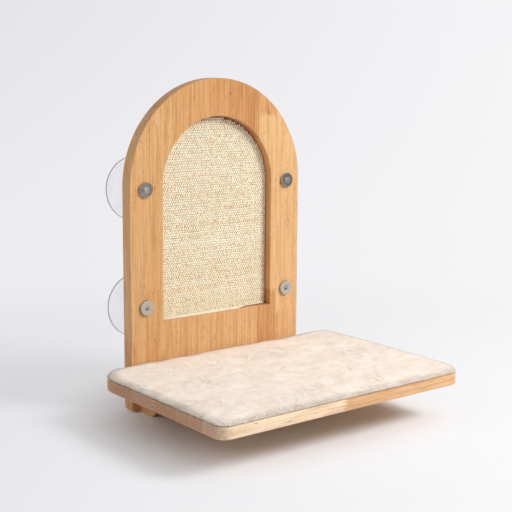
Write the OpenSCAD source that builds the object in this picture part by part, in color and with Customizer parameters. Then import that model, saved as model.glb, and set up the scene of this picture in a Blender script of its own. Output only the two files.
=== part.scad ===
// Window perch for a cat. An arched wooden panel is held on the glass by four
// suction cups. It frames a woven sisal scratch face, and carries a seat board
// on two brackets. A thin plush pad lies on the seat on hook and loop strips.
// Lengths are in millimetres. X runs along the seat, Y towards the glass and Z up.
// The origin is on the glass, at the centre of the four cups.

/* [Back panel] */
// Width of the panel
panel_w = 300; // [270:1:340]
// Height of the panel, from its foot to the top of the arch
panel_h = 465; // [430:1:540]
// Thickness of the panel
panel_t = 20; // [18:0.5:26]
// Radius of the two lower corners, seen from the front
panel_corner_r = 9; // [5:0.5:14]
// Radius of the eased edges of the panel
panel_edge_r = 1.5; // [0.8:0.1:2.4]

/* [Scratch face] */
// Width of the wooden border round the opening
border_w = 54; // [46:1:62]
// Height of the opening's lower edge above the foot of the panel
opening_z = 126; // [108:1:150]
// Depth of the sisal's face behind the front of the panel
sisal_depth = 11.5; // [8:0.5:12]
// Thickness of the woven sisal mat
sisal_t = 3.5; // [2.5:0.5:4]
// Thickness of the board behind the sisal
backer_t = 3; // [2:0.5:3]
// Width of the ledge that the board is screwed to, round the opening
ledge_w = 9; // [8:0.5:11]

/* [Suction cups] */
// Distance from the side of the panel to the middle of a cup
cup_inset = 25; // [20:0.5:28]
// Height of the lower pair of cups above the foot of the panel
cup_low_z = 148.5; // [140:0.5:160]
// Distance between the lower and the upper pair
cup_pitch_z = 165; // [150:1:180]
// Diameter of the cup's rim
cup_d = 90; // [80:1:96]
// Gap between the back of the panel and the glass
cup_standoff = 9; // [8:0.5:14]
// Diameter of the cup's neck
cup_neck_d = 22; // [20:0.5:26]
// Thickness of the cup at its rim
cup_lip_t = 1.2; // [0.8:0.1:1.8]
// Width of the flat land that meets the glass
cup_land_w = 2.5; // [1.5:0.5:4]
// Depth of the hollow in the middle of the cup
cup_hollow = 3.4; // [2.5:0.1:3.8]

/* [Studs and cap nuts] */
// Diameter of the threaded stud in the cup
stud_d = 6; // [5:0.5:7]
// Diameter of the stud's disc, moulded into the neck
stud_disc_d = 16; // [12:0.5:18]
// Thickness of the stud's disc
stud_disc_t = 1.5; // [1:0.1:2]
// Diameter of the cap nut's head
nut_head_d = 19; // [16:0.5:22]
// Height of the cap nut's head above the panel
nut_head_t = 3; // [2.5:0.1:4]
// Diameter of the cap nut's sleeve
nut_sleeve_d = 9.5; // [9:0.5:12]
// Width of the key socket across its flats
nut_socket_w = 6; // [5:0.5:8]

/* [Seat board] */
// Width of the seat board
seat_w = 412; // [380:1:460]
// Depth of the seat board, from the panel forwards
seat_d = 287; // [250:1:330]
// Thickness of the seat board
seat_t = 16; // [13:0.5:20]
// Height of the board's underside above the foot of the panel
seat_z = 49; // [44:0.5:52]
// Radius of the two front corners
seat_front_r = 17; // [14:1:34]
// Radius of the two rear corners
seat_rear_r = 39; // [24:1:48]
// Radius of the eased edges of the board
seat_edge_r = 2; // [1:0.1:3]

/* [Brackets] */
// Distance from the side of the panel to the outer face of a bracket
bracket_inset = 13.5; // [12:0.5:24]
// Thickness of a bracket
bracket_t = 20; // [16:0.5:24]
// Depth of a bracket at its foot
bracket_foot = 31; // [26:1:40]
// Depth of a bracket under the seat
bracket_reach = 71; // [62:1:110]
// Height of the blunt nose at the front of a bracket
bracket_nose = 8; // [5:0.5:12]
// Radius of the rounded corners of a bracket, seen from the side
bracket_corner_r = 2; // [1:0.5:3]

/* [Pad] */
// Height of the pad at its edge, without its crown
pad_t = 4.2; // [3.8:0.1:6]
// Rise of the pad's middle over its edge
pad_crown = 1.2; // [0.6:0.1:3]
// Distance that the pad's edge keeps inside the edge of the seat
pad_inset = 1; // [0.6:0.1:4]
// Distance that the long and short sides draw in between the corners
pad_draw = 1.2; // [0:0.1:3]
// Thickness of the foam sheet in the pad
foam_t = 2; // [1:0.1:2.2]
// Thickness of the pad's backing cloth
backing_t = 0.6; // [0.4:0.1:0.8]
// Length of a hook and loop strip
strip_l = 80; // [50:1:110]
// Width of a hook and loop strip
strip_w = 20; // [14:1:30]
// Thickness of the hook tape and of the loop tape
strip_t = 0.8; // [0.5:0.1:1.2]

/* [Screws] */
// Diameter of the screws that hold the brackets and the seat
screw_d = 4.5; // [4:0.5:5]
// Length of the screws that come through the panel
panel_screw_l = 50; // [44:1:54]
// Length of the screws between a bracket and the seat
seat_screw_l = 30; // [26:1:30]
// Diameter of the screws in the board behind the sisal
backer_screw_d = 3; // [2.5:0.5:3.5]
// Length of the screws in the board behind the sisal
backer_screw_l = 12; // [9:0.5:13]

/* [Hidden] */
$fn = 96;

// Colours
WOOD = [0.87, 0.68, 0.46];
WOOD_DARK = [0.74, 0.55, 0.37];
PLY = [0.80, 0.66, 0.47];
SISAL = [0.96, 0.89, 0.72];
CLEAR = [0.88, 0.89, 0.95];
STEEL = [0.66, 0.66, 0.65];
TAPE = [0.90, 0.88, 0.84];
FOAM = [0.93, 0.91, 0.86];
PLUSH = [0.94, 0.89, 0.83];

// Steps that round an eased edge, and the steps of the cup's two curves
EASE_STEPS = 4;
CUP_STEPS = 14;
// One overrun for every cut
over = 1;
// Clearance between a fastener and its hole
hole_gap = 0.1;
// Clearance between the sisal, its board and the wood round them
mat_gap = 0.4;
// Gap between the hook tape and the loop tape
grip_gap = 0.3;
// Gap between the pad and the front of the panel
pad_gap = 0.5;

// Panel and opening
panel_r = panel_w / 2;
arch_z = panel_h - panel_r;
open_r = panel_r - border_w;
ledge_y = sisal_depth + sisal_t;

// Glass and cups, seen from the front of the panel
glass_y = panel_t + cup_standoff;
cup_x = panel_r - cup_inset;
cups_mid_z = cup_low_z + cup_pitch_z / 2;
LEFT = -1;
RIGHT = 1;
LOWER = -1;
UPPER = 1;

// Suction cup
cup_r = cup_d / 2;
neck_r = cup_neck_d / 2;
shoulder_share = 0.72;
shoulder_s = cup_standoff * shoulder_share;
dish_r = cup_r - cup_land_w;

// Stud: its disc lies in the neck, and its shaft ends inside the nut
disc_wall_share = 0.35;
disc_s = cup_hollow + (cup_standoff - cup_hollow - stud_disc_t) * disc_wall_share;
stud_chamfer = 0.6;

// Cap nut: the sleeve stops short of the panel's back
sleeve_short = 2;
sleeve_l = panel_t - sleeve_short;
socket_depth_share = 0.8;
socket_depth = nut_head_t * socket_depth_share;
nut_web = 1.6;
nut_head_ease = 0.6;
stud_tip_gap = 2;
stud_tip_y = nut_web + stud_tip_gap;
socket_lead = 0.5;
socket_r = nut_socket_w / sqrt(3);

// Screws
seat_top = seat_z + seat_t;
screw_r = screw_d / 2;
screw_head_r_share = 2;
screw_head_r = screw_r * screw_head_r_share;
screw_tip_l = 5;
screw_point_share = 0.25;
bracket_x = panel_r - bracket_inset - bracket_t / 2;
bracket_screw_shares = [0.28, 0.72];
seat_edge_screw_share = 0.6;
seat_edge_screw_places = [-1, 0, 1];

// The screws that rise through a bracket bite into most of the seat's thickness.
// One stands clear of the tips of the bracket's other screws, and one near the nose.
seat_bite_share = 0.8;
seat_screw_head_r_share = 1.9;
seat_screw_head_r = screw_r * seat_screw_head_r_share;
seat_screw_head_t = 2.6;
seat_screw_z = seat_top - seat_t * (1 - seat_bite_share) - seat_screw_l;
seat_screw_margin = 1.5;
bracket_slope = (bracket_reach - bracket_foot) / (seat_z - bracket_nose);
seat_screw_y = [
    panel_screw_l - panel_t + seat_screw_head_r + seat_screw_margin,
    bracket_foot + (seat_screw_z - seat_screw_head_t) * bracket_slope - seat_screw_head_r
];

// Backer screws: on the two sides, along the foot and round the arch
backer_screw_r = backer_screw_d / 2;
backer_screw_head_r = backer_screw_r * screw_head_r_share;
backer_screw_x = open_r + ledge_w / 2;
backer_side_shares = [0.12, 0.72];
backer_foot_share = 0.5;
backer_arch_angles = [30, 90, 150];
backer_tip_l = 3;

// Pad: heights are measured from the underside of the backing
pad_z = seat_top + 2 * strip_t + grip_gap;
pad_w = seat_w - 2 * pad_inset;
pad_d = seat_d - pad_inset - pad_gap;
pad_front_r = seat_front_r - pad_inset;
pad_rear_r = seat_rear_r - pad_inset;
hem_w = 4;
foam_inset = 6;
layer_gap = 0.1;
CORNER_STEPS = 7;
WIDE_STEPS = 11;
DEEP_STEPS = 8;
// Rings of the pad from its underside up: share of the edge's roundness that
// each stands back, share of its height, and share of the way to its middle
ring_shares = [
    [0.9, 0, 0], [0.25, 0.2, 0], [0, 0.45, 0], [0.15, 0.75, 0], [0.7, 0.96, 0],
    [1, 1, 0.03], [1, 1.25, 0.12], [1, 1.5, 0.28], [1, 1.8, 0.5], [1, 2, 0.8]
];
pad_edge_r = pad_t / 2;
strip_x = seat_w / 2 - seat_rear_r - strip_w / 2;
strip_y = [-seat_rear_r - strip_l / 2, seat_front_r + strip_l / 2 - seat_d];
strip_corner_r = 3;

// Points of an arc about c, from angle a0 to angle a1
function arc(c, r, a0, a1, n) = [
    for (i = [0 : n])
        c + r * [cos(a0 + (a1 - a0) * i / n), sin(a0 + (a1 - a0) * i / n)]
];

// Section of a board's rim of width w and thickness t, its outer edges eased by e.
// It reaches inwards past zero by lap, into the board's core.
function board_section(w, t, e, lap = 0) = concat(
    [[-lap, 0]],
    arc([w - e, e], e, -90, 0, EASE_STEPS),
    arc([w - e, t - e], e, 0, 90, EASE_STEPS),
    [[-lap, t]]
);

// Half section of the opening: it flares at the front, which is at zero depth
function opening_section(w, t, e) = concat(
    [[0, -t], [w, -t]],
    arc([w + e, -e], e, 180, 90, EASE_STEPS),
    [[w + e, over], [0, over]]
);

function mirrored(points) = [for (i = [len(points) - 1 : -1 : 0]) [-points[i][0], points[i][1]]];

// A strip of board from zero along X, its eased edge on the side of positive Y
module eased_strip(length, w, t, e) {
    rotate([90, 0, 90])
        linear_extrude(length)
            polygon(board_section(w, t, e, w));
}

module eased_corner(r, t, e, turn) {
    rotate([0, 0, turn])
        rotate_extrude(angle = 90)
            polygon(board_section(r, t, e));
}

module both_sides() {
    children();
    mirror([1, 0, 0])
        children();
}

// Turns a shape drawn flat so that it stands up, with its top towards the front
module upright() {
    rotate([90, 0, 0])
        children();
}

// Moves the whole part so that the middle of the cups lies on the origin
module from_glass() {
    translate([0, -glass_y, -cups_mid_z])
        children();
}

module at_cup(side, level) {
    translate([side * cup_x, 0, cups_mid_z + level * cup_pitch_z / 2])
        children();
}

// An arched plate, drawn flat: its straight part starts at y0
module arched_plate(half_w, y0, t) {
    translate([0, arch_z, 0])
        linear_extrude(t) {
            circle(half_w);
            translate([-half_w, y0 - arch_z])
                square([2 * half_w, arch_z - y0]);
        }
}

// Screw with a countersunk head, its head's face at zero and its tip along Z
module flat_screw(r, head_r, length, tip_l, gap) {
    head_t = head_r - r;
    translate([0, 0, -gap])
        cylinder(head_t + gap, head_r + gap, r + gap);
    translate([0, 0, -gap])
        cylinder(length - tip_l + gap, r + gap, r + gap);
    translate([0, 0, length - tip_l])
        cylinder(tip_l, r + gap, (r + gap) * screw_point_share);
}

// The solid arched board before anything is cut from it. Its pieces start from
// the centre line of the arch, so that they meet exactly.
module panel_blank() {
    c = panel_corner_r;
    x = panel_r - c;
    run = arch_z - c;
    translate([0, arch_z, -panel_t]) {
        cylinder(panel_t, r = x);
        rotate_extrude(angle = 180)
            translate([x, 0])
                polygon(board_section(c, panel_t, panel_edge_r, c));
        both_sides() {
            translate([x, 0, 0])
                rotate([0, 0, -90])
                    eased_strip(run, c, panel_t, panel_edge_r);
            translate([x, -run, 0])
                eased_corner(c, panel_t, panel_edge_r, 270);
        }
        translate([x, -run, 0])
            rotate([0, 0, 180])
                eased_strip(2 * x, c, panel_t, panel_edge_r);
        mirror([0, 1, 0])
            translate([-x, 0, 0])
                cube([2 * x, run, panel_t]);
    }
}

// What the arched opening removes, with its flare at the front edge
module opening_plug() {
    section = opening_section(open_r, panel_t + over, panel_edge_r);
    reach = arch_z - opening_z;
    translate([0, arch_z, 0])
        rotate_extrude(angle = 180)
            polygon(section);
    intersection() {
        translate([0, arch_z, 0])
            rotate([90, 0, 0])
                linear_extrude(reach + 2 * panel_edge_r)
                    polygon(concat(section, mirrored(section)));
        translate([0, opening_z + open_r, 0])
            rotate([90, 0, -90])
                linear_extrude(panel_w, center = true)
                    polygon(concat(section, [[-reach, over], [-reach, -panel_t - over]]));
    }
}

module back_panel() {
    color(WOOD)
        upright()
            difference() {
                panel_blank();
                opening_plug();
                translate([0, 0, -panel_t - over])
                    arched_plate(open_r + ledge_w, opening_z - ledge_w, panel_t + over - ledge_y);
                panel_holes();
            }
}

module panel_holes() {
    for (side = [LEFT, RIGHT], level = [LOWER, UPPER])
        translate([side * cup_x, cups_mid_z + level * cup_pitch_z / 2, -panel_t - over])
            cylinder(panel_t + 2 * over, r = nut_sleeve_d / 2 + hole_gap);
    at_bracket_screws()
        flat_screw(screw_r, screw_head_r, panel_screw_l, screw_tip_l, hole_gap);
    at_seat_edge_screws()
        flat_screw(screw_r, screw_head_r, panel_screw_l, screw_tip_l, hole_gap);
    at_backer_screws()
        flat_screw(backer_screw_r, backer_screw_head_r, backer_screw_l, backer_tip_l, hole_gap);
}

// The three sets of screws that are driven from behind, drawn flat
module at_bracket_screws() {
    for (side = [LEFT, RIGHT], share = bracket_screw_shares)
        translate([side * bracket_x, seat_z * share, -panel_t])
            children();
}

module at_seat_edge_screws() {
    for (place = seat_edge_screw_places)
        translate([place * cup_x * seat_edge_screw_share, seat_z + seat_t / 2, -panel_t])
            children();
}

module at_backer_screws() {
    side_l = arch_z - opening_z;
    translate([0, 0, -ledge_y - backer_t]) {
        for (side = [LEFT, RIGHT], share = backer_side_shares)
            translate([side * backer_screw_x, opening_z + side_l * share, 0])
                children();
        for (side = [LEFT, RIGHT])
            translate([side * backer_screw_x * backer_foot_share, opening_z - ledge_w / 2, 0])
                children();
        for (turn = backer_arch_angles)
            translate([backer_screw_x * cos(turn), arch_z + backer_screw_x * sin(turn), 0])
                children();
    }
}

module backer_board() {
    color(PLY)
        upright()
            difference() {
                translate([0, 0, -ledge_y - backer_t])
                    arched_plate(open_r + ledge_w - mat_gap, opening_z - ledge_w + mat_gap, backer_t);
                at_backer_screws()
                    flat_screw(backer_screw_r, backer_screw_head_r, backer_screw_l, backer_tip_l, hole_gap);
            }
}

module sisal_mat() {
    color(SISAL)
        upright()
            translate([0, 0, -ledge_y])
                arched_plate(open_r - mat_gap, opening_z + mat_gap, sisal_t);
}

module backer_screws() {
    color(STEEL)
        upright()
            at_backer_screws()
                flat_screw(backer_screw_r, backer_screw_head_r, backer_screw_l, backer_tip_l, 0);
}

// Outer and inner curves of the cup: a bell that flares towards the glass
function cup_back(r) =
    cup_lip_t + (shoulder_s - cup_lip_t) * (1 + cos(180 * (r - neck_r) / (cup_r - neck_r))) / 2;
function cup_front(r) = cup_hollow * (1 + cos(180 * r / dish_r)) / 2;

cup_outline = concat(
    [[0, cup_standoff], [neck_r, cup_standoff]],
    [for (i = [0 : CUP_STEPS]) let (r = neck_r + (cup_r - neck_r) * i / CUP_STEPS) [r, cup_back(r)]],
    [[cup_r, 0]],
    [for (i = [CUP_STEPS : -1 : 0]) let (r = dish_r * i / CUP_STEPS) [r, cup_front(r)]]
);

// Stud, drawn along Z from the glass: the disc in the neck, then the shaft
module stud_solid(gap) {
    shaft_l = glass_y - stud_tip_y - disc_s;
    r = stud_d / 2 + gap;
    translate([0, 0, disc_s - gap])
        cylinder(stud_disc_t + 2 * gap, r = stud_disc_d / 2 + gap);
    translate([0, 0, disc_s])
        cylinder(shaft_l - stud_chamfer, r = r);
    translate([0, 0, disc_s + shaft_l - stud_chamfer])
        cylinder(stud_chamfer, r, r - stud_chamfer);
}

module suction_cup(side, level) {
    color(CLEAR, 0.5)
        at_cup(side, level)
            translate([0, glass_y, 0])
                upright()
                    difference() {
                        rotate_extrude()
                            polygon(cup_outline);
                        stud_solid(hole_gap);
                    }
}

module cup_stud(side, level) {
    color(STEEL)
        at_cup(side, level)
            translate([0, glass_y, 0])
                upright()
                    stud_solid(0);
}

// Cap nut, drawn along Z from the panel's front: the head stands proud
module cap_nut(side, level) {
    head_r = nut_head_d / 2;
    bore_r = stud_d / 2 + hole_gap;
    color(STEEL)
        at_cup(side, level)
            upright()
                difference() {
                    union() {
                        rotate_extrude()
                            polygon(concat(
                                [[0, 0], [head_r, 0]],
                                arc([head_r - nut_head_ease, nut_head_t - nut_head_ease],
                                    nut_head_ease, 0, 90, EASE_STEPS),
                                [[0, nut_head_t]]
                            ));
                        translate([0, 0, -sleeve_l])
                            cylinder(sleeve_l + nut_head_t / 2, r = nut_sleeve_d / 2);
                    }
                    translate([0, 0, nut_head_t - socket_depth])
                        cylinder(socket_depth + over, r = socket_r, $fn = 6);
                    translate([0, 0, nut_head_t - socket_lead])
                        cylinder(socket_lead + over, socket_r, socket_r + socket_lead + over);
                    translate([0, 0, -sleeve_l - over])
                        cylinder(sleeve_l + over - nut_web, r = bore_r);
                }
}

// A board with two front corners and two rear corners, its rear edge on Y zero.
// Its pieces start from the line through the centres of the rear corners.
module seat_blank() {
    f = seat_front_r;
    r = seat_rear_r;
    front_x = seat_w / 2 - f;
    rear_x = seat_w / 2 - r;
    run = seat_d - f - r;
    translate([0, -r, 0]) {
        both_sides() {
            translate([rear_x, 0, 0])
                eased_corner(r, seat_t, seat_edge_r, 0);
            translate([front_x, 0, 0])
                rotate([0, 0, -90])
                    eased_strip(run, f, seat_t, seat_edge_r);
            translate([front_x, -run, 0])
                eased_corner(f, seat_t, seat_edge_r, 270);
        }
        translate([-rear_x, 0, 0])
            eased_strip(2 * rear_x, r, seat_t, seat_edge_r);
        translate([front_x, -run, 0])
            rotate([0, 0, 180])
                eased_strip(2 * front_x, f, seat_t, seat_edge_r);
        mirror([0, 1, 0])
            translate([-front_x, 0, 0])
                cube([2 * front_x, run, seat_t]);
    }
}

module seat_board() {
    color(WOOD)
        difference() {
            translate([0, 0, seat_z])
                seat_blank();
            upright()
                at_seat_edge_screws()
                    flat_screw(screw_r, screw_head_r, panel_screw_l, screw_tip_l, hole_gap);
            at_seat_screws()
                pan_screw(hole_gap, seat_z);
        }
}

// Side view of a bracket, from its foot forwards and up to its blunt nose
lean = atan(1 / bracket_slope);
foot_tangent = bracket_corner_r * tan(lean / 2);
nose_tangent = bracket_corner_r * tan((90 - lean) / 2);
bracket_outline = concat(
    [[0, 0]],
    arc([foot_tangent - bracket_foot, bracket_corner_r], bracket_corner_r, 270, 270 - lean, EASE_STEPS),
    arc([bracket_corner_r - bracket_reach, seat_z - bracket_nose + nose_tangent],
        bracket_corner_r, 270 - lean, 180, EASE_STEPS),
    [[-bracket_reach, seat_z], [0, seat_z]]
);

module bracket(side) {
    color(WOOD_DARK)
        difference() {
            translate([side * bracket_x, 0, 0])
                rotate([90, 0, 90])
                    linear_extrude(bracket_t, center = true)
                        polygon(bracket_outline);
            upright()
                at_bracket_screws()
                    flat_screw(screw_r, screw_head_r, panel_screw_l, screw_tip_l, hole_gap);
            at_seat_screws()
                pan_screw(hole_gap, seat_z);
        }
}

// The screws that rise through a bracket into the seat
module at_seat_screws() {
    for (side = [LEFT, RIGHT], y = seat_screw_y)
        translate([side * bracket_x, -y, seat_screw_z])
            children();
}

// Screw with a flat head under zero, its tip along Z. Where it is cut as a hole,
// below is how far the head's bore runs down.
module pan_screw(gap, below) {
    shank_l = seat_screw_l - screw_tip_l;
    translate([0, 0, -below])
        cylinder(below, r = seat_screw_head_r + gap);
    cylinder(shank_l, r = screw_r + gap);
    translate([0, 0, shank_l])
        cylinder(screw_tip_l, screw_r + gap, (screw_r + gap) * screw_point_share);
}

module bracket_screws() {
    color(STEEL)
        upright()
            at_bracket_screws()
                flat_screw(screw_r, screw_head_r, panel_screw_l, screw_tip_l, 0);
}

module seat_edge_screws() {
    color(STEEL)
        upright()
            at_seat_edge_screws()
                flat_screw(screw_r, screw_head_r, panel_screw_l, screw_tip_l, 0);
}

module seat_screws() {
    color(STEEL)
        at_seat_screws()
            pan_screw(0, seat_screw_head_t);
}

// Four strips near the corners of the seat
strip_outline = [
    for (corner = [[1, 1, 0], [-1, 1, 90], [-1, -1, 180], [1, -1, 270]])
        each arc(
            [
                corner[0] * (strip_w / 2 - strip_corner_r),
                corner[1] * (strip_l / 2 - strip_corner_r)
            ],
            strip_corner_r, corner[2], corner[2] + 90, EASE_STEPS
        )
];
module strips(z) {
    for (side = [LEFT, RIGHT], y = strip_y)
        translate([side * strip_x, y, z])
            linear_extrude(strip_t)
                polygon(strip_outline);
}

module hook_strips() {
    color(TAPE)
        strips(seat_top);
}

module loop_strips() {
    color(TAPE)
        strips(seat_top + strip_t + grip_gap);
}

// Outline of the pad, set in by d, with points along its sides as well
function side_points(a, b, n) = [for (i = [1 : n - 1]) a + (b - a) * i / n];
function pad_outline(d) =
    let (
        x = pad_w / 2,
        f = pad_front_r,
        r = pad_rear_r,
        front = -pad_gap - pad_d,
        rear = -pad_gap,
        front_left = arc([f - x, front + f], f - d, 180, 270, CORNER_STEPS),
        front_right = arc([x - f, front + f], f - d, 270, 360, CORNER_STEPS),
        rear_right = arc([x - r, rear - r], r - d, 0, 90, CORNER_STEPS),
        rear_left = arc([r - x, rear - r], r - d, 90, 180, CORNER_STEPS),
        e = CORNER_STEPS
    )
    concat(
        front_left, side_points(front_left[e], front_right[0], WIDE_STEPS),
        front_right, side_points(front_right[e], rear_right[0], DEEP_STEPS),
        rear_right, side_points(rear_right[e], rear_left[0], WIDE_STEPS),
        rear_left, side_points(rear_left[e], front_left[0], DEEP_STEPS)
    );

// Draws the sides in between the corners, and leaves the corners out
pad_mid = [0, -pad_gap - pad_d / 2];
function drawn_in(p) =
    let (
        u = (p - pad_mid)[0] / (pad_w / 2),
        v = (p - pad_mid)[1] / (pad_d / 2),
        pull_x = pad_draw * u * u * u * (1 - v * v),
        pull_y = pad_draw * v * v * v * (1 - u * u)
    )
    [p[0] - pull_x, p[1] - pull_y];

function ring(shares) =
    let (
        rise = min(shares[1], 1) * pad_t + max(shares[1] - 1, 0) * pad_crown,
        keep = 1 - shares[2]
    )
    [
        for (p = pad_outline(shares[0] * pad_edge_r))
            let (q = pad_mid + (drawn_in(p) - pad_mid) * keep) [q[0], q[1], rise]
    ];

ring_n = len(pad_outline(0));

// A closed skin over stacked rings, with flat ends
module skin(rings) {
    last = len(rings) - 1;
    n = ring_n;
    polyhedron(
        points = [for (r = rings) each r],
        faces = concat(
            [[for (i = [0 : n - 1]) i]],
            [[for (i = [n - 1 : -1 : 0]) last * n + i]],
            [
                for (k = [0 : last - 1], i = [0 : n - 1])
                    each [
                        [k * n + i, (k + 1) * n + i, k * n + (i + 1) % n],
                        [k * n + (i + 1) % n, (k + 1) * n + i, (k + 1) * n + (i + 1) % n]
                    ]
            ]
        )
    );
}

module plush_cover() {
    color(PLUSH)
        translate([0, 0, pad_z])
            difference() {
                skin([for (shares = ring_shares) ring(shares)]);
                translate([0, 0, -over])
                    linear_extrude(over + backing_t + layer_gap)
                        polygon([for (p = pad_outline(hem_w)) drawn_in(p)]);
                linear_extrude(backing_t + foam_t + 2 * layer_gap)
                    polygon([for (p = pad_outline(foam_inset)) drawn_in(p)]);
            }
}

module pad_backing() {
    color(TAPE)
        translate([0, 0, pad_z])
            linear_extrude(backing_t)
                polygon([for (p = pad_outline(hem_w + layer_gap)) drawn_in(p)]);
}

module foam_sheet() {
    color(FOAM)
        translate([0, 0, pad_z + backing_t])
            linear_extrude(foam_t)
                polygon([for (p = pad_outline(foam_inset + layer_gap)) drawn_in(p)]);
}

from_glass() back_panel();
from_glass() backer_board();
from_glass() sisal_mat();
from_glass() backer_screws();
from_glass() suction_cup(LEFT, UPPER);  // suction_cup_upper_left
from_glass() suction_cup(RIGHT, UPPER);  // suction_cup_upper_right
from_glass() suction_cup(LEFT, LOWER);  // suction_cup_lower_left
from_glass() suction_cup(RIGHT, LOWER);  // suction_cup_lower_right
from_glass() cup_stud(LEFT, UPPER);  // cup_stud_upper_left
from_glass() cup_stud(RIGHT, UPPER);  // cup_stud_upper_right
from_glass() cup_stud(LEFT, LOWER);  // cup_stud_lower_left
from_glass() cup_stud(RIGHT, LOWER);  // cup_stud_lower_right
from_glass() cap_nut(LEFT, UPPER);  // cap_nut_upper_left
from_glass() cap_nut(RIGHT, UPPER);  // cap_nut_upper_right
from_glass() cap_nut(LEFT, LOWER);  // cap_nut_lower_left
from_glass() cap_nut(RIGHT, LOWER);  // cap_nut_lower_right
from_glass() seat_board();
from_glass() bracket(LEFT);  // left_bracket
from_glass() bracket(RIGHT);  // right_bracket
from_glass() bracket_screws();
from_glass() seat_edge_screws();
from_glass() seat_screws();
from_glass() hook_strips();
from_glass() loop_strips();
from_glass() pad_backing();
from_glass() foam_sheet();
from_glass() plush_cover();
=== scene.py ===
import math

import bpy
import numpy as np
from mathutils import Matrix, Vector, noise


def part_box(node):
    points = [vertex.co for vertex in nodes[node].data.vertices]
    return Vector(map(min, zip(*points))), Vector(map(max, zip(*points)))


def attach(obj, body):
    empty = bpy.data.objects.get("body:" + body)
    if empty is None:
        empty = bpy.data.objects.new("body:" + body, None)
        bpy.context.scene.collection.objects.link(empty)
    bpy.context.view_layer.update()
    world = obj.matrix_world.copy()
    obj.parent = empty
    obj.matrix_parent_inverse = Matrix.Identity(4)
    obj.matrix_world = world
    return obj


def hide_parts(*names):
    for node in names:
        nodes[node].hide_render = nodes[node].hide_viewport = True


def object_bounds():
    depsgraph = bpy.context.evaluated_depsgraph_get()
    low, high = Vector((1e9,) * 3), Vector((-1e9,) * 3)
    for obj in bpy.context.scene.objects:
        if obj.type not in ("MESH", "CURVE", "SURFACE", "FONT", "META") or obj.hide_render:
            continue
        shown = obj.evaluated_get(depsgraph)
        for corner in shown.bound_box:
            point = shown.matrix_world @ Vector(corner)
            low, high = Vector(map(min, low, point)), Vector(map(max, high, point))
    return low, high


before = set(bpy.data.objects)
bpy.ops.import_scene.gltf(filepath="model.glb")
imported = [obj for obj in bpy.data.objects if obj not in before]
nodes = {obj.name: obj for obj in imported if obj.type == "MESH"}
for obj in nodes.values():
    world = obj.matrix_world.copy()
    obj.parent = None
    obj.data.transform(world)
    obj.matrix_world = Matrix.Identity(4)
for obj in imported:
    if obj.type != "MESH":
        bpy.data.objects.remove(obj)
cad_box = [list(corner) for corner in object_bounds()]
MM = 0.001
rng = np.random.default_rng(7)


# Camera, fitted to the edges in the photograph

camera_data = bpy.data.cameras.new("photo_camera")
camera_data.sensor_width = 36
camera_data.lens = 77.13
camera_data.clip_start = 0.05
camera_data.clip_end = 60
camera = bpy.data.objects.new("photo_camera", camera_data)
camera.location = (-0.92979, -1.29821, 0.24338)
camera.rotation_euler = [math.radians(a) for a in (80.4446, -0.3811, -38.1279)]
bpy.context.scene.collection.objects.link(camera)
bpy.context.scene.camera = camera


# Materials

def operator(operation):
    def run(self, other):
        return self.shade.math(operation, self, other)
    return run


class Value:
    """A node's output, with operators that make math nodes of it."""

    def __init__(self, shade, socket):
        self.shade, self.socket = shade, socket

    def __rsub__(self, other):
        return self.shade.math("SUBTRACT", other, self)

    def __abs__(self):
        return self.shade.math("ABSOLUTE", self)

    __add__ = operator("ADD")
    __sub__ = operator("SUBTRACT")
    __mul__ = operator("MULTIPLY")
    __truediv__ = operator("DIVIDE")
    __pow__ = operator("POWER")
    __gt__ = operator("GREATER_THAN")
    __lt__ = operator("LESS_THAN")


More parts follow.
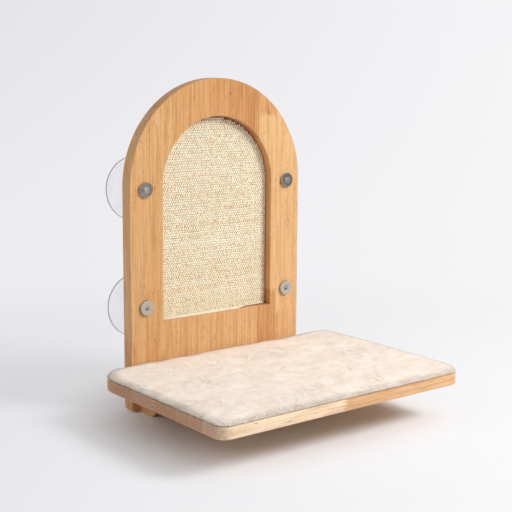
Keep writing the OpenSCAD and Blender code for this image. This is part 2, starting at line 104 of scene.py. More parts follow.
class Shade:
    """The node tree of a material or world, built by short calls that hand back values."""

    def __init__(self, owner, coordinates="Object"):
        owner.use_nodes = True
        self.owner = owner
        self.tree = owner.node_tree
        self.tree.nodes.clear()
        texture = self.node("ShaderNodeTexCoord")
        self.here = self.out(texture, coordinates)
        self.facing = self.out(texture, "Normal")

    def node(self, kind, **props):
        made = self.tree.nodes.new(kind)
        for key, value in props.items():
            setattr(made, key, value)
        return made

    def out(self, made, output=0):
        return Value(self, made.outputs[output])

    def put(self, socket, value):
        """Links an input to a value, or sets its number or colour. None leaves it alone."""
        if isinstance(value, Value):
            self.tree.links.new(value.socket, socket)
        elif value is not None:
            colour = socket.type == "RGBA" and len(value) == 3
            socket.default_value = (*value, 1) if colour else value

    def fed(self, made, *values):
        """The first output of a node whose inputs get these values, in their order."""
        for socket, value in zip(made.inputs, values):
            self.put(socket, value)
        return self.out(made)

    def named(self, made, **values):
        """The first output of a node whose inputs get these values by their names."""
        for key, value in values.items():
            self.put(made.inputs[key.replace("_", " ")], value)
        return self.out(made)

    def math(self, operation, *values, clamp=False):
        made = self.node("ShaderNodeMath", operation=operation, use_clamp=clamp)
        return self.fed(made, *values)

    def about(self, value, reach):
        """A value that runs from 0 to 1, such as noise, centred on zero and scaled."""
        return (value - 0.5) * reach

    def hypot(self, a, b):
        return self.math("SQRT", a * a + b * b)

    def join(self, x, y, z):
        return self.fed(self.node("ShaderNodeCombineXYZ"), x, y, z)

    def split(self, vector, kind="XYZ"):
        made = self.node("ShaderNodeSeparate" + kind)
        self.put(made.inputs[0], vector)
        return [self.out(made, number) for number in range(3)]

    def chance(self, vector):
        """Three random numbers for each place in space."""
        made = self.node("ShaderNodeTexWhiteNoise", noise_dimensions="3D")
        self.put(made.inputs["Vector"], vector)
        return self.split(self.out(made, "Color"), "Color")

    def noise(self, vector, scale=1.0, detail=2.0, rough=0.5, twist=0.0):
        return self.named(self.node("ShaderNodeTexNoise"), Vector=vector, Scale=scale,
                          Detail=detail, Roughness=rough, Distortion=twist)

    def ramp(self, value, stops, hold=False):
        """A colour that changes with value, gradually or, with hold, in steps."""
        made = self.node("ShaderNodeValToRGB")
        ramp = made.color_ramp
        ramp.interpolation = "CONSTANT" if hold else "LINEAR"
        while len(ramp.elements) > 1:
            ramp.elements.remove(ramp.elements[0])
        for number, (place, colour) in enumerate(stops):
            stop = ramp.elements[0] if number == 0 else ramp.elements.new(place)
            stop.position = place
            stop.color = (*colour, 1)
        return self.fed(made, value)

    def span(self, value, low, high, to_low=0.0, to_high=1.0, ease="LINEAR"):
        """Maps low to high onto to_low to to_high, and holds there."""
        made = self.node("ShaderNodeMapRange", interpolation_type=ease)
        return self.fed(made, value, low, high, to_low, to_high)

    def mix(self, share, a, b, blend="MIX"):
        """A mix of two colours."""
        made = self.node("ShaderNodeMix", data_type="RGBA", blend_type=blend)
        for number, value in ((0, share), (6, a), (7, b)):
            self.put(made.inputs[number], value)
        return self.out(made, 2)

    def blend(self, share, a, b):
        """A mix of two numbers."""
        return self.fed(self.node("ShaderNodeMix", data_type="FLOAT"), share, None, a, b)

    def bump(self, height, distance, strength=1.0, under=None):
        return self.named(self.node("ShaderNodeBump"), Height=height, Distance=distance,
                          Strength=strength, Normal=under)

    def vector_math(self, operation, *values):
        made = self.node("ShaderNodeVectorMath", operation=operation)
        self.fed(made, *values)
        return self.out(made, "Value")

    def ray(self, *kinds):
        """1 for rays of these kinds and 0 for others."""
        path = self.node("ShaderNodeLightPath")
        found, *others = (self.out(path, "Is %s Ray" % kind) for kind in kinds)
        for other in others:
            found = self.math("MAXIMUM", found, other)
        return found

    def simple(self, kind, colour=None):
        """A shader that has only a colour to set."""
        return self.fed(self.node("ShaderNode" + kind), colour)

    def shader(self, **sockets):
        return self.named(self.node("ShaderNodeBsdfPrincipled"), **sockets)

    def both(self, share, first, second):
        """A mix of two shaders."""
        return self.fed(self.node("ShaderNodeMixShader"), share, first, second)

    def finish(self, surface, kind="Material"):
        out = self.node("ShaderNodeOutput" + kind)
        self.put(out.inputs["Surface"], surface)
        return self.owner


def paint(name):
    """A new material to build nodes in."""
    return Shade(bpy.data.materials.new(name))


def linear(*rgb):
    """The linear colour of an sRGB colour given from 0 to 255."""
    return tuple(
        c / 255 / 12.92 if c <= 10 else ((c / 255 + 0.055) / 1.055) ** 2.4 for c in rgb
    )


# Wood

FINGER_PITCH = 4.4 * MM
FINGER_DEPTH = 9.5 * MM
FINGER_LINE = 0.4 * MM
GLUE_LINE = 0.22 * MM
STRIP_WANDER = 0.3 * MM
RING_STEP = 4.6 * MM
RING_SWAY = 9 * MM
PITH_BELOW = 12 * MM
PITH_ASIDE = 0.13
GRAIN_RELIEF = 0.12 * MM


def strip_blocks(sh, strips, across, stacked, along, start, size, seed):
    """What a place in a finger-jointed board belongs to: the tone of its block, three random
    numbers of that block, and the glue lines round it. start and size: the board's lowest
    place and its extent, across the strips and along them."""
    wander = sh.noise(sh.join(0.0, 0.0, along), 9.0, 1.0)
    side = across + sh.about(wander, STRIP_WANDER)
    share = sh.math("DIVIDE", side - start[0], size[0], clamp=True)
    places = [(s[0], (*s[1], (i * 0.37 + 0.13) % 1)) for i, s in enumerate(strips)]
    tones = [(s[0], s[2]) for s in strips]
    joint_low, joint_high, strip_id = sh.split(sh.ramp(share, places, hold=True), "Color")
    tone_low, tone_mid, tone_high = sh.split(sh.ramp(share, tones, hold=True), "Color")
    zig = sh.math("PINGPONG", stacked, FINGER_PITCH / 2) / (FINGER_PITCH / 2)
    up = (along - start[1]) / size[1] + sh.about(zig, FINGER_DEPTH / size[1])
    over_low, over_high = up > joint_low, up > joint_high
    tone = sh.blend(over_high, sh.blend(over_low, tone_low, tone_mid), tone_high)
    block = over_low + over_high
    own = sh.chance(sh.join(strip_id * 91.7, block * 3.1, float(seed)))

    gap = GLUE_LINE / size[0]
    left, right = (sh.split(sh.ramp(beside, places, hold=True), "Color")[2]
                   for beside in (share - gap, share + gap))
    seam = abs(left - right) > 0.001
    for joint in (joint_low, joint_high):
        seam = sh.math("MAXIMUM", seam, abs(up - joint) < FINGER_LINE / size[1])
    return tone, own, seam


def growth_rings(sh, across, through, along, middle, bottom, own):
    """Rings about a pith, which lies below the board's bottom and off its middle, another way
    in each block: how late in its ring a place is, and how far the rings sway there."""
    sway = sh.noise(sh.join(across * 14.0, through * 14.0, along * 2.4 + own[0] * 7.0), 1.0, 2.0)
    sway = sh.about(sway, RING_SWAY)
    lean = sh.about(own[2], 0.05)
    from_pith = across - middle + sh.about(own[0], PITH_ASIDE) + along * lean + sway
    deep = through - bottom + (own[1] * 0.05 + PITH_BELOW)
    radius = sh.hypot(from_pith, deep)
    wave = sh.noise(sh.join(radius * 160.0, own[1] * 30.0, along * 0.7), 1.0, 2.0)
    ring = sh.math("FRACT", radius / RING_STEP + wave * 1.3)
    return ring ** 2.2, sway


def dark_streak(sh, across, along, place, bottom, top, wide):
    """A streak that starts wide at the bottom and thins to a tip at the top."""
    run = sh.span(along, bottom, top)
    off = abs(across - (place - run * wide))
    drawn = sh.span(off, (1.1 - run) * wide, 0.0)
    return drawn * sh.span(along, bottom - 1 * MM, bottom) * (1.0 - run)


def wood(name, node, axes, strips, colours, seed, fingers="across", gloss=0.12,
         mark=None, routed=0.0):
    """Finger-jointed hardwood. axes names the axis across the strips, the one through the
    board and the one along the grain. Each strip: (share across where it starts, shares along
    the grain of its two joints, tones of its blocks below, between and above them). fingers
    names the way in which a joint's fingers stand side by side. mark: where a dark streak
    lies across, its ends along the grain and its greatest width. Walls of a routed opening no
    further than routed from the middle get painted shade, darker and browner, as a recess
    in shadow."""
    low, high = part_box(node)
    sh = paint(name)
    across_i, through_i, along_i = ("xyz".index(a) for a in axes)
    xyz, facing = sh.split(sh.here), sh.split(sh.facing)
    across, through, along = xyz[across_i], xyz[through_i], xyz[along_i]
    size = (high[across_i] - low[across_i], high[along_i] - low[along_i])
    tone, own, seam = strip_blocks(sh, strips, across, across if fingers == "across" else through,
                                   along, (low[across_i], low[along_i]), size, seed)
    late, sway = growth_rings(sh, across, through, along, low[across_i] + size[0] / 2,
                              low[through_i], own)

    # grain of many widths, drawn out along the blocks, and pores that come in clusters
    moved = across + own[2] * 3.0

    def grain(stretch, scale, detail, rough=0.5):
        return sh.noise(sh.join(moved, through, along * stretch), scale, detail, rough)

    streak = grain(0.030, 430.0, 3.0, 0.66)
    broad = grain(0.045, 150.0, 2.0)
    hair = grain(0.055, 1150.0, 1.0)
    clusters = sh.span(grain(0.22, 130.0, 2.0), 0.42, 0.62)
    pores = sh.span(grain(0.10, 1250.0, 1.0), 0.60, 0.72) * clusters

    # colour on side grain
    pale, warm_tone, deep, line = colours
    end = abs(facing[along_i]) ** 4.0
    side_grain = 1.0 - end * 0.75
    level = tone + sh.about(own[0], 0.08) + sh.about(broad, 0.62) + (late - 0.3) * 0.16
    level += sh.about(hair, 0.34) * side_grain
    base = sh.ramp(level, [(0.0, pale), (0.5, warm_tone), (1.0, deep)])
    base = sh.mix(sh.span(streak, 0.5, 0.66) * 0.25 * side_grain, base, line)
    base = sh.mix(sh.span(streak, 0.46, 0.34) * 0.32 * side_grain, base, pale)
    base = sh.mix(pores * 0.7 * side_grain, base, line)
    if mark:
        base = sh.mix(dark_streak(sh, across, along, *mark) * 0.85, base, line)
    base = sh.mix(seam * 0.14, base, line)
    if routed:
        # painted shade: the walls inside the opening are darkened and browned as if in the
        # recess's shadow
        flank = sh.span(abs(facing[across_i]), 0.3, 0.8)
        painted_recess_shade = flank * (abs(across) < routed)
        base = sh.mix(painted_recess_shade, base, sh.mix(1.0, base, (0.88, 0.72, 0.62), "MULTIPLY"))

    # end grain is darker and browner, and shows the rings in patches
    faint = late * sh.span(sway, -3 * MM, 3 * MM, 0.1, 0.5)
    end_tone = sh.mix(faint, (0.74, 0.66, 0.66), (0.50, 0.38, 0.36))
    sawn = sh.mix(1.0, base, end_tone, "MULTIPLY")
    sawn = sh.mix(0.45, sawn, sh.mix(faint, linear(184, 140, 112), linear(138, 96, 76)))
    base = sh.mix(end, base, sawn)

    # an oiled face with a few smears, and a shallow relief
    smear = sh.noise(sh.here, 38.0, 3.0)
    rough = sh.span(smear, 0.35, 0.65, 0.42, 0.54) + streak * 0.08 + pores * 0.2 + end * 0.1
    relief = streak * -0.5 + pores * -0.9 + late * 0.25 + seam * -0.6
    return sh.finish(sh.shader(Base_Color=base, Roughness=rough,
                               Normal=sh.bump(relief, GRAIN_RELIEF, 0.55),
                               Coat_Weight=gloss, Coat_Roughness=0.2, IOR=1.46))


PALE = linear(234, 193, 144)
WARM = linear(215, 162, 107)
DEEP = linear(191, 131, 81)
LINE = linear(134, 78, 38)
HARDWOOD = (PALE, WARM, DEEP, LINE)
PANEL_STRIPS = [
    (0.000, (0.21, 0.93), (0.42, 0.34, 0.40)),
    (0.080, (0.373, 0.86), (0.54, 0.42, 0.36)),
    (0.160, (0.17, 0.71), (0.44, 0.46, 0.40)),
    (0.223, (0.09, 0.79), (0.28, 0.36, 0.42)),
    (0.235, (0.13, 0.66), (0.50, 0.40, 0.50)),
    (0.360, (0.10, 0.60), (0.46, 0.42, 0.60)),
    (0.487, (0.16, 0.67), (0.44, 0.38, 0.76)),
    (0.613, (0.12, 0.63), (0.40, 0.34, 0.84)),
    (0.740, (0.315, 0.886), (0.76, 0.20, 0.56)),
    (0.853, (0.24, 0.94), (0.42, 0.28, 0.40)),
    (0.937, (0.14, 0.80), (0.36, 0.30, 0.34)),
]
SEAT_STRIPS = [
    (0.000, (0.474, 0.99), (0.10, 0.58, 0.40)),
    (0.135, (0.22, 0.72), (0.48, 0.36, 0.55)),
    (0.325, (0.38, 0.88), (0.60, 0.42, 0.40)),
    (0.495, (0.16, 0.61), (0.46, 0.60, 0.38)),
    (0.665, (0.31, 0.79), (0.62, 0.40, 0.50)),
    (0.835, (0.25, 0.55), (0.52, 0.45, 0.36)),
]
BRACKET_STRIPS = [(0.0, (0.0, 1.0), (0.42, 0.42, 0.42)), (0.55, (0.0, 1.0), (0.5, 0.5, 0.5))]
PLY_STRIPS = [(0.0, (0.0, 1.0), (0.3, 0.3, 0.3))]
PANEL_MARK = (91 * MM, 181 * MM, 209 * MM, 3.4 * MM)
BAY_WALLS = 104 * MM


# Metal and vinyl

STEEL = (0.56, 0.55, 0.53)
NICKEL = (0.58, 0.53, 0.475)
TURNED_RELIEF = 0.02 * MM
cup_low, cup_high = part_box("suction_cup_upper_right")
CUP_X = (cup_low.x + cup_high.x) / 2
CUP_Z = (cup_low.z + cup_high.z) / 2
CUP_R = (cup_high.x - cup_low.x) / 2
# where the painted dark line of the cup's rim fades in, inside and outside
RIM_INSIDE = (1.2 * MM, 0.8 * MM)
RIM_OUTSIDE = (0.05 * MM, 0.3 * MM)


def metal(name, node, colour, rough, ring):
    """Plated steel turned about the node's own middle, in line with Y."""
    low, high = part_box(node)
    middle = (low + high) / 2
    sh = paint(name)
    x, _, z = sh.split(sh.here)
    radius = sh.hypot(x - middle.x, z - middle.z)
    turned = sh.noise(sh.join(radius * 1100.0, 0.0, 0.0), 1.0, 1.0)
    cloud = sh.noise(sh.here, 110.0, 2.0)
    tint = sh.mix(sh.span(cloud, 0.3, 0.7), tuple(c * 0.93 for c in colour), colour)
    polish = sh.span(cloud, 0.3, 0.7, rough - 0.03, rough + 0.03) + turned * 0.05
    bump = sh.bump(turned * ring, TURNED_RELIEF, 0.12)
    return sh.finish(sh.shader(Base_Color=tint, Metallic=1.0, Roughness=polish, Normal=bump))


def clear(name):
    """Clear soft vinyl, with a dark line painted in the cup's rim as the shade its curved edge
    shows. Lamps reach what is behind it.
    """
    sh = paint(name)
    haze = sh.noise(sh.here, 45.0, 3.0)
    smear = sh.noise(sh.here, 260.0, 2.0)
    rough = sh.span(haze, 0.3, 0.7, 0.015, 0.05) + sh.span(smear, 0.6, 0.8) * 0.03
    tint = sh.mix(sh.span(haze, 0.3, 0.7), linear(246, 247, 252), linear(250, 250, 253))
    x, _, z = sh.split(sh.here)
    radius = sh.hypot(abs(x) - CUP_X, abs(z) - CUP_Z)
    # painted shade: a dark line round the cup's rim, as its curved edge shows against light
    inside, outside = ([CUP_R - d for d in ends] for ends in (RIM_INSIDE, RIM_OUTSIDE))
    rim = sh.span(radius, *inside) * sh.span(radius, *outside)
    tint = sh.mix(rim * 0.68, tint, linear(106, 108, 130))
    bump = sh.bump(haze + smear * 0.2, 0.25 * MM, 0.35)
    glass = sh.shader(Base_Color=tint, Roughness=rough, Transmission_Weight=1.0, IOR=1.42,
                      Normal=bump)
    through = sh.simple("BsdfTransparent", linear(247, 247, 251))
    return sh.finish(sh.both(sh.ray("Shadow"), glass, through))


# Yarn, cloth and plush

def yarn(name):
    """Sisal yarn along X: pale fibres, a tone for each stretch of yarn, which holds painted shade
    where the yarn dives.
    """
    sh = paint(name)
    x, y, z = sh.split(sh.here)
    tone = sh.out(sh.node("ShaderNodeAttribute", attribute_name="tone"), "Fac")
    fibre = sh.noise(sh.join(x * 0.16, y + x * 0.5, z + x * 0.35), 2600.0, 3.0, 0.6)
    patch = sh.noise(sh.here, 26.0, 2.0)
    level = tone * 1.05 + patch * 0.2 + fibre * 0.25 - 0.26
    straw = sh.ramp(level, [
        (0.05, linear(210, 148, 90)), (0.28, linear(246, 202, 150)),
        (0.48, linear(255, 243, 212)), (0.9, linear(255, 252, 234))])
    straw = sh.mix(sh.span(fibre, 0.66, 0.82) * 0.15, straw, linear(190, 154, 108))
    rough = sh.span(fibre, 0.3, 0.7, 0.70, 0.88)
    bump = sh.bump(fibre, 0.2 * MM, 0.6)
    return sh.finish(sh.shader(Base_Color=straw, Roughness=rough, Normal=bump,
                               Sheen_Weight=0.3, Sheen_Roughness=0.5))


def cloth(name, dark, light, scale, sheen):
    """Plain fine cloth: crossed threads in X and Y, with mottling."""
    sh = paint(name)
    x, y, z = sh.split(sh.here)
    warp, weft_thread = (sh.math("SINE", (way + z) * (scale * 3.0)) for way in (x, y))
    cross = sh.math("MAXIMUM", warp, weft_thread)
    mottle = sh.noise(sh.here, 70.0, 4.0, 0.6)
    fuzz = sh.noise(sh.here, 1800.0, 2.0)
    level = mottle * 0.5 + sh.span(cross, -1.0, 1.0) * 0.25 + fuzz * 0.25
    bump = sh.bump(cross * 0.5 + fuzz * 0.6, 0.15 * MM, 0.7)
    return sh.finish(sh.shader(Base_Color=sh.mix(level, dark, light), Normal=bump,
                               Roughness=sh.span(fuzz, 0.3, 0.7, 0.8, 0.95),
                               Sheen_Weight=sheen, Sheen_Roughness=0.45))


pad_low, pad_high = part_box("plush_cover")
# where the painted shade under the pad's lower edge starts and where it is full
LIP_TOP = 0.2 * MM
LIP_FULL = 0.6 * MM
# each patch of painted sheen, where the nap catches light: its middle and its half width in X and
# Y
SHEEN_PATCHES = ((0.118, -0.118, 0.030, 0.014), (0.152, -0.185, 0.034, 0.016),
           (-0.060, -0.090, 0.022, 0.012), (-0.100, -0.210, 0.026, 0.012))


def plush(name, open_share, glow_share, lip_shade):
    """Short cream pile: patches of nap that lean one way or another, a few patches lightened as
    painted sheen, and fine fibres. Shadow rays pass by open_share, and light comes through by
    glow_share. Below the cover's lower edge it turns dark brown, painted shade of the gap above
    the seat, as strongly as the last argument says."""
    sh = paint(name)
    x, y, z = sh.split(sh.here)
    swirl = sh.noise(sh.here, 16.0, 2.0)
    warped = sh.join(x + swirl * 0.05, y + swirl * 0.04, z * 0.5)
    nap = sh.noise(sh.join(x * 0.8, y, z), 50.0, 4.0, 0.55, 0.9)
    clumps = sh.noise(warped, 200.0, 3.0, 0.6, 0.4)
    fibre = sh.noise(sh.here, 1500.0, 2.0, 0.6)
    level = sh.span(nap, 0.3, 0.7, 0.0, 0.62) + clumps * 0.34 + fibre * 0.12 - 0.02
    # painted sheen: a few patches of the nap are lightened as if catching the light
    for place_x, place_y, half_x, half_y in SHEEN_PATCHES:
        far = sh.hypot((x - place_x) / half_x, (y - place_y) / half_y)
        level += sh.span(far + nap * 0.8, 1.3, 0.5) * 0.3
    tint = sh.ramp(level, [
        (0.05, linear(236, 220, 206)), (0.38, linear(244, 231, 219)),
        (0.66, linear(250, 241, 232)), (1.0, linear(255, 252, 248))])
    # painted shade: the skin below the cover's lower edge turns dark brown, as the shadowed gap
    # above the seat
    drop = sh.span(z, pad_low.z - LIP_TOP, pad_low.z - LIP_FULL)
    tint = sh.mix(drop * lip_shade, tint, linear(112, 74, 46))
    pile = sh.shader(Base_Color=tint, Roughness=sh.span(clumps, 0.3, 0.7, 0.82, 0.96),
                     Normal=sh.bump(fibre, 0.3 * MM, 0.5, sh.bump(clumps, 0.5 * MM, 0.3)),
                     Sheen_Weight=0.35, Sheen_Roughness=0.4, Sheen_Tint=(1.0, 0.97, 0.94))
    pile = sh.both(glow_share, pile, sh.simple("BsdfTranslucent", tint))
    return sh.finish(sh.both(sh.ray("Shadow") * open_share, pile, sh.simple("BsdfTransparent")))


MATERIALS = {
    "back_panel": wood("panel_hardwood", "back_panel", "xyz", PANEL_STRIPS, HARDWOOD, 3,
                       mark=PANEL_MARK, routed=BAY_WALLS),
    "seat_board": wood("seat_hardwood", "seat_board", "yzx", SEAT_STRIPS,
                       (linear(250, 226, 196), linear(228, 182, 134), DEEP, LINE), 5,
                       fingers="through", gloss=0.25),
    "backer_board": wood("backer_ply", "backer_board", "zyx", PLY_STRIPS,
                         (linear(226, 192, 148), linear(214, 178, 132),
                          linear(198, 158, 112), linear(150, 108, 68)), 23),
}
for bracket, seed in (("left_bracket", 11), ("right_bracket", 17)):
    MATERIALS[bracket] = wood(bracket + "_wood", bracket, "zxy", BRACKET_STRIPS, HARDWOOD, seed)
vinyl = clear("clear_vinyl")
for part in nodes:
    if part.startswith("suction_cup"):
        MATERIALS[part] = vinyl
    elif part.startswith("cap_nut"):
        MATERIALS[part] = metal(part + "_nickel", part, NICKEL, 0.23, 1.0)
    elif part.startswith("cup_stud") or part.endswith("screws"):
        MATERIALS[part] = metal(part + "_zinc", part, STEEL, 0.34, 0.2)
for part, material in MATERIALS.items():
    for material_slot in nodes[part].material_slots:
        material_slot.material = material


# Making pieces

def piece(name, verts, faces, material, body, replaced=(), smooth=True):
    """A mesh object that rides on a body and stands for the CAD nodes named."""
    mesh = bpy.data.meshes.new(name)
    mesh.from_pydata([tuple(v) for v in verts], [], [tuple(f) for f in faces])
    mesh.materials.append(material)
    mesh.polygons.foreach_set("use_smooth", [smooth] * len(mesh.polygons))
    mesh.update()
    made = bpy.data.objects.new(name, mesh)
    bpy.context.scene.collection.objects.link(made)
    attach(made, body)
    if replaced:
        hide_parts(*replaced)
    return made


def unit(vectors):
    return vectors / np.linalg.norm(vectors, axis=-1, keepdims=True)


def square_to(ahead, upright):
    """Two unit directions square to each one given. Those steeper than upright take the first
    one from X, the others from Z."""
    helper = np.where(np.abs(ahead[..., 2:3]) < upright, [0, 0, 1.0], [1.0, 0, 0])
    side = unit(np.cross(ahead, helper))
    return side, np.cross(ahead, side)


def tube_faces(n, sides, base):
    """The faces of a capped tube of n rings whose verts start at base."""
    here = base + np.arange(n - 1)[:, None] * sides + np.arange(sides)[None, :]
    beside = base + np.arange(n - 1)[:, None] * sides + (np.arange(sides)[None, :] + 1) % sides
    quads = np.stack([here, here + sides, beside + sides, beside], axis=-1).reshape(-1, 4)
    first = list(range(base, base + sides))
    last = [number + (n - 1) * sides for number in first]
    return quads.tolist() + [first, last[::-1]]


def tubes(name, lines, radius, sides, material, body):
    """Thin tubes along lines of equal length, as one piece."""
    lines = np.array(lines)
    count, n = lines.shape[:2]
    side, other = square_to(unit(np.gradient(lines, axis=1)), 0.8)
    angles = np.arange(sides) * 2 * math.pi / sides
    ring = (side[:, :, None, :] * np.cos(angles)[:, None] + other[:, :, None, :]
            * np.sin(angles)[:, None])
    verts = (lines[:, :, None, :] + ring * radius).reshape(-1, 3)
    faces = []
    for k in range(count):
        faces += tube_faces(n, sides, k * n * sides)
    return piece(name, verts, faces, material, body)


def closed_skin(upper, lower):
    """Verts and faces of a closed skin: two grids, each given as its X, Y and Z, joined all
    round. The verts of the lower one come last."""
    n = upper[0].size
    verts = np.concatenate([np.stack(grid, -1).reshape(-1, 3) for grid in (upper, lower)])
    ids = np.arange(n).reshape(upper[0].shape)
    quads = np.stack([ids[:-1, :-1], ids[1:, :-1], ids[1:, 1:], ids[:-1, 1:]], -1).reshape(-1, 4)
    faces = quads.tolist() + (quads[:, ::-1] + n).tolist()
    loop = np.concatenate([ids[:, 0], ids[-1, 1:], ids[-2::-1, -1], ids[0, -2:0:-1]]).tolist()
    faces += [[b, a, a + n, b + n] for a, b in zip(loop, loop[1:] + loop[:1])]
    return verts, faces


# Cap nuts

NUT_R = 10.7 * MM
NUT_T = 3.4 * MM
NUT_EASE = 0.35 * MM
SLEEVE_R = 4.75 * MM
BORE_R = 3.1 * MM
KEY_R = 3.0 * MM
KEY_DEEP = 2.3 * MM
SINK_R = 4.1 * MM


def cap_nut(part):
    """A turned cap nut: eased head, countersunk key socket with six sides, sleeve with a bore."""
    low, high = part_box(part)
    middle = (low + high) / 2
    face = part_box("back_panel")[0].y
    front = face - NUT_T
    deep = front + KEY_DEEP
    sides = 48
    turn = np.arange(sides) * 2 * math.pi / sides
    six = 1 / np.cos((turn + math.pi / 6) % (math.pi / 3) - math.pi / 6)
    one = np.ones(sides)
    rings = [(BORE_R * one, deep + 1.6 * MM), (BORE_R * one, high.y), (SLEEVE_R * one, high.y),
             (SLEEVE_R * one, face), (NUT_R * one, face), (NUT_R * one, front + NUT_EASE),
             ((NUT_R - 0.1 * MM) * one, front + 0.12 * MM), ((NUT_R - NUT_EASE) * one, front),
             (SINK_R * one, front), ((SINK_R - 0.1 * MM) * one, front + 0.1 * MM),
             ((SINK_R - 0.35 * MM) * one, front + 0.4 * MM), (KEY_R * six, front + 0.6 * MM),
             (KEY_R * six, deep)]
    verts = [(middle.x, rings[0][1], middle.z)]
    for radius, y in rings:
        verts += [(middle.x + r * math.cos(a), y, middle.z + r * math.sin(a))
                  for r, a in zip(radius, turn)]
    verts.append((middle.x, deep + 0.8 * MM, middle.z))
    faces = tube_faces(len(rings), sides, 1)[:-2]
    last = 1 + (len(rings) - 1) * sides
    for k in range(sides):
        k2 = (k + 1) % sides
        faces += [[0, 1 + k, 1 + k2], [last + k, len(verts) - 1, last + k2]]
    made = piece(part.replace("cap_nut", "turned_nut"), verts, faces, MATERIALS[part], "perch",
                 (part,))
    made.data.set_sharp_from_angle(angle=math.radians(9))


for corner in ("upper_left", "upper_right", "lower_left", "lower_right"):
    cap_nut("cap_nut_" + corner)


# Sisal

ROW_PITCH = 3.62 * MM
LUMP = 3.9 * MM
YARN = 0.82 * MM
YARN_SIDES = 5
SWING = 0.58 * MM
KNOT_REACH = 0.1
MAT_MARGIN = 0.5 * MM
LEDGE_Z = -105 * MM
HEM_HALF = 94.5 * MM
HEM_ENDS = (92 * MM, 52 * MM, 43 * MM, 38 * MM)
HEM_START = 0.9 * MM
HEM_STEP = 2.8 * MM
BACKING_INSET = 0.6 * MM
BACKING_THICK = 1.0 * MM


def drifting(x, knots, middle, spread):
    """A value for each place along x, which drifts at random about its middle."""
    return np.interp(x, np.linspace(-KNOT_REACH, KNOT_REACH, knots),
                     rng.normal(middle, spread, knots))


def weft(x, middle, out, up, turn):
    """One yarn along X, its verts and their tones, which drift at random and carry painted shade
    where the yarn dives. middle is its line's Y and Z. It dives in and out along out, and
    stands ROW_PITCH tall along up."""
    phase = 2 * math.pi * x / LUMP + math.pi * turn + drifting(x, 40, 0, 0.25)
    crest = np.cos(phase)
    fat = drifting(x, 120, 1, 0.05)
    drift = drifting(x, 30, 0, 0.08 * MM) + 0.34 * MM * np.sin(phase)
    tall = ROW_PITCH * 0.5 * (1.03 + 0.46 * crest) * fat
    deep = YARN * (0.92 + 0.10 * crest)
    angles = np.arange(YARN_SIDES) * 2 * math.pi / YARN_SIDES + math.pi / 2 / YARN_SIDES
    along_out = (SWING * crest)[:, None] + deep[:, None] * np.cos(angles)[None, :]
    along_up = drift[:, None] + tall[:, None] * np.sin(angles)[None, :]
    ring_y = middle[0] + along_out * out[0] + along_up * up[0]
    ring_z = middle[1] + along_out * out[1] + along_up * up[1]
    ring_x = np.repeat(x[:, None], YARN_SIDES, axis=1)
    # the tone drifts at random; its part that follows crest is painted shade, darker where the
    # yarn dives under a warp
    tint = drifting(x, 90, 0.5, 0.12) + 0.10 + 0.38 * crest + rng.normal(0, 0.04)
    return np.stack([ring_x, ring_y, ring_z], -1).reshape(-1, 3), np.repeat(tint, YARN_SIDES)


def yarn_rows():
    """The rows of yarn: each one's ends in X, and what weft needs. Rows up the arch come
    first, and then those of the mat's lower edge, turned forward onto the opening's ledge."""
    low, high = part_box("sisal_mat")
    half = (high.x - low.x) / 2
    arch_z = high.z - half
    front_y = low.y + YARN + SWING
    rows = []
    for row in range(int((high.z - low.z - 2 * MAT_MARGIN) / ROW_PITCH)):
        z0 = low.z + MAT_MARGIN + (row + 0.5) * ROW_PITCH
        rise = max(0.0, z0 + ROW_PITCH * 0.4 - arch_z)
        reach = math.sqrt(max(0.0, half * half - rise * rise)) - MAT_MARGIN
        if reach > 3 * MM:
            rows.append((-reach, reach, (front_y, z0), (-1, 0), (0, 1), row))
    for number, right in enumerate(HEM_ENDS):
        ledge_y = low.y - (HEM_START + HEM_STEP * number)
        ledge_z = LEDGE_Z + YARN + SWING * 0.55 - 0.2 * MM * number
        rows.append((-HEM_HALF, right, (ledge_y, ledge_z), (0, 1), (-1, 0), number))
    return rows


def sisal_weave():
    """Weft yarns that dive under every other warp, each row out of step with the next."""
    verts, faces, tones = [], [], []
    base = 0
    for left, right, *line in yarn_rows():
        x = np.append(np.arange(left, right - LUMP / 9, LUMP / 4.6), right)
        made, tint = weft(x, *line)
        verts.append(made)
        tones.append(tint)
        faces += tube_faces(len(x), YARN_SIDES, base)
        base += len(made)
    made = piece("sisal_weave", np.concatenate(verts), faces, yarn("sisal_yarn"), "perch",
                 ("sisal_mat",))
    attribute = made.data.attributes.new("tone", "FLOAT", "POINT")
    attribute.data.foreach_set("value", np.concatenate(tones).astype(np.float32))


def sisal_backing():
    """The ground cloth behind the yarns, an arched plate, in a dark brown that is partly painted
    shade for the gaps between the yarns.
    """
    low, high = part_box("sisal_mat")
    half = (high.x - low.x) / 2 - BACKING_INSET
    arch_z = high.z - BACKING_INSET - half
    arc = [math.pi * i / 60 for i in range(61)]
    outline = [(half * math.cos(a), arch_z + half * math.sin(a)) for a in arc]
    outline += [(-half, low.z + BACKING_INSET), (half, low.z + BACKING_INSET)]
    verts = [(x, y, z) for y in (high.y - BACKING_THICK, high.y) for x, z in outline[::-1]]
    faces = tube_faces(2, len(outline), 0)
    # the cloth's dark brown is partly painted shade, for where it shows between the yarns
    ground = cloth("sisal_ground", linear(112, 72, 38), linear(146, 104, 62), 500.0, 0.0)
    piece("sisal_backing", verts, faces, ground, "perch", ("sisal_mat",), smooth=False)


sisal_weave()
sisal_backing()


# Pad

